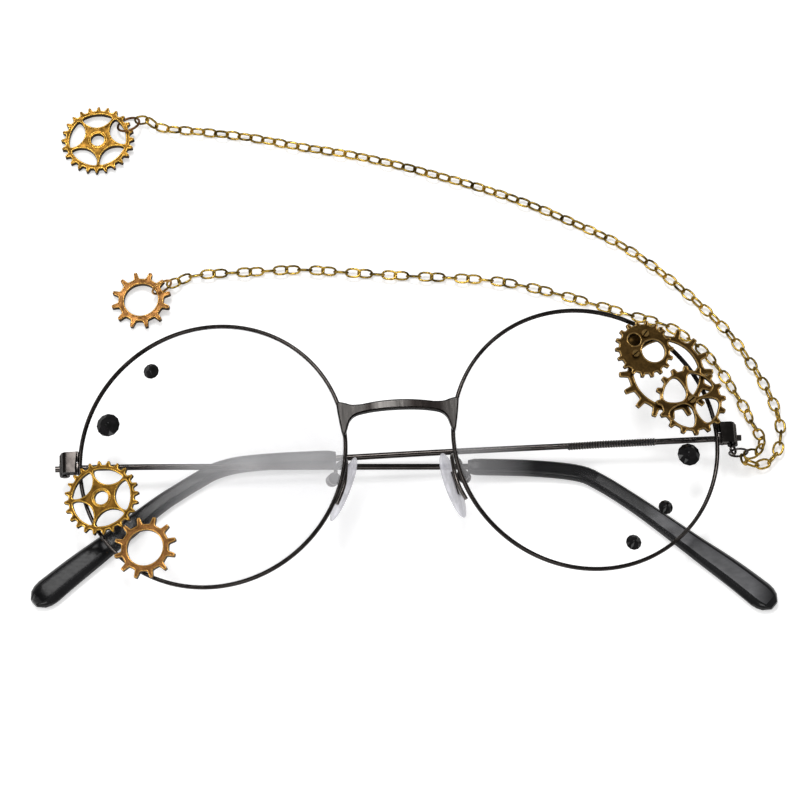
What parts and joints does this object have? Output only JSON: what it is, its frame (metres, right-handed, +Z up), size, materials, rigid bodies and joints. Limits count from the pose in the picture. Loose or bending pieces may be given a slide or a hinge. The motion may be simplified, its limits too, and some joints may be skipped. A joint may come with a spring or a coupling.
{
  "type": "eyeglasses",
  "caption": "Round wire-rimmed eyeglasses with folding arms, rocking nose pads, clockwork gears and stones on the lenses, and two chains with gear charms.",
  "frame": {"origin": "on the table under the middle of the folded glasses, chains and charms not counted", "axes": "+X from the wearer's right lens towards the left one, across the whole front; +Y from the cheeks towards the brow; +Z up, out of the front of the lenses, with the folded arms below"},
  "size_m": [0.1521, 0.1188, 0.0203],
  "materials": {
    "gunmetal": "dark plated, worn bright on the edges",
    "steel": "dark steel",
    "lens": "clear",
    "nose_pad": "clear, soft",
    "tip": "polished black",
    "copper": "copper coloured, aged",
    "gold": "antique gold",
    "bronze": "dark bronze, worn",
    "stone": "black, faceted, polished"
  },
  "bodies": {
    "frame": {"anchor_ring": "gunmetal", "bridge": "gunmetal", "chain_lower": "bronze", "chain_upper": "bronze", "disc_gear": "bronze", "disc_gear_screw_a": "steel", "disc_gear_screw_b": "steel", "endpiece_left": "gunmetal", "endpiece_right": "gunmetal", "five_window_gear": "gold", "four_window_gear": "bronze", "four_window_gear_screw": "steel", "hinge_screw_left": "steel", "hinge_screw_right": "steel", "large_ring_gear": "copper", "lens_left": "lens", "lens_right": "lens", "pad_arm_left": "gunmetal", "pad_arm_right": "gunmetal", "pad_box_left": "gunmetal", "pad_box_right": "gunmetal", "pad_screw_left": "steel", "pad_screw_right": "steel", "rim_left": "gunmetal", "rim_right": "gunmetal", "rim_screw_left": "steel", "rim_screw_right": "steel", "ring_gear": "copper", "stone_left_outer": "stone", "stone_left_upper": "stone", "stone_right_lower": "stone", "stone_right_middle": "stone", "stone_right_outer": "stone"},
    "right_temple": {"temple_leaf_right": "gunmetal", "temple_wire_right": "steel", "temple_tip_right": "tip"},
    "left_temple": {"temple_leaf_left": "gunmetal", "temple_wire_left": "steel", "temple_tip_left": "tip"},
    "left_pad": {"nose_pad_left": "nose_pad", "pad_insert_left": "steel"},
    "right_pad": {"nose_pad_right": "nose_pad", "pad_insert_right": "steel"},
    "upper_charm": {"jump_ring_upper": "gold", "five_window_charm": "gold"},
    "lower_charm": {"jump_ring_lower": "gunmetal", "ring_gear_charm": "gold"}
  },
  "joints": [
    {"name": "right_temple_fold", "type": "hinge", "parent": "frame", "child": "right_temple", "pos_m": [0.0672, 0.00447, 0.0069], "axis": [0, -1, 0], "range_deg": [0, 92]},
    {"name": "left_temple_fold", "type": "hinge", "parent": "frame", "child": "left_temple", "pos_m": [-0.0663, 0.00447, 0.0069], "axis": [0, 1, 0], "range_deg": [0, 92]},
    {"name": "left_pad_rock", "type": "hinge", "parent": "frame", "child": "left_pad", "pos_m": [-0.01294, -0.00232, 0.00961], "axis": [-0.24, 0.1941, -0.9512], "range_deg": [-8, 8]},
    {"name": "right_pad_rock", "type": "hinge", "parent": "frame", "child": "right_pad", "pos_m": [0.01299, -0.0029, 0.00955], "axis": [-0.2511, -0.1599, 0.9547], "range_deg": [-8, 8]},
    {"name": "upper_charm_swing", "type": "hinge", "parent": "frame", "child": "upper_charm", "pos_m": [-0.05068, 0.08496, 0.0015], "axis": [-0.2398, 0.4726, 0.848], "range_deg": [0, 50]},
    {"name": "lower_charm_swing", "type": "hinge", "parent": "frame", "child": "lower_charm", "pos_m": [-0.04495, 0.04612, 0.00179], "axis": [-0.4664, 0.8846, 0], "range_deg": [0, 80]}
  ],
  "couplings": [
    {"joint": "left_temple_fold", "follows": "right_temple_fold", "ratio": 1}
  ]
}
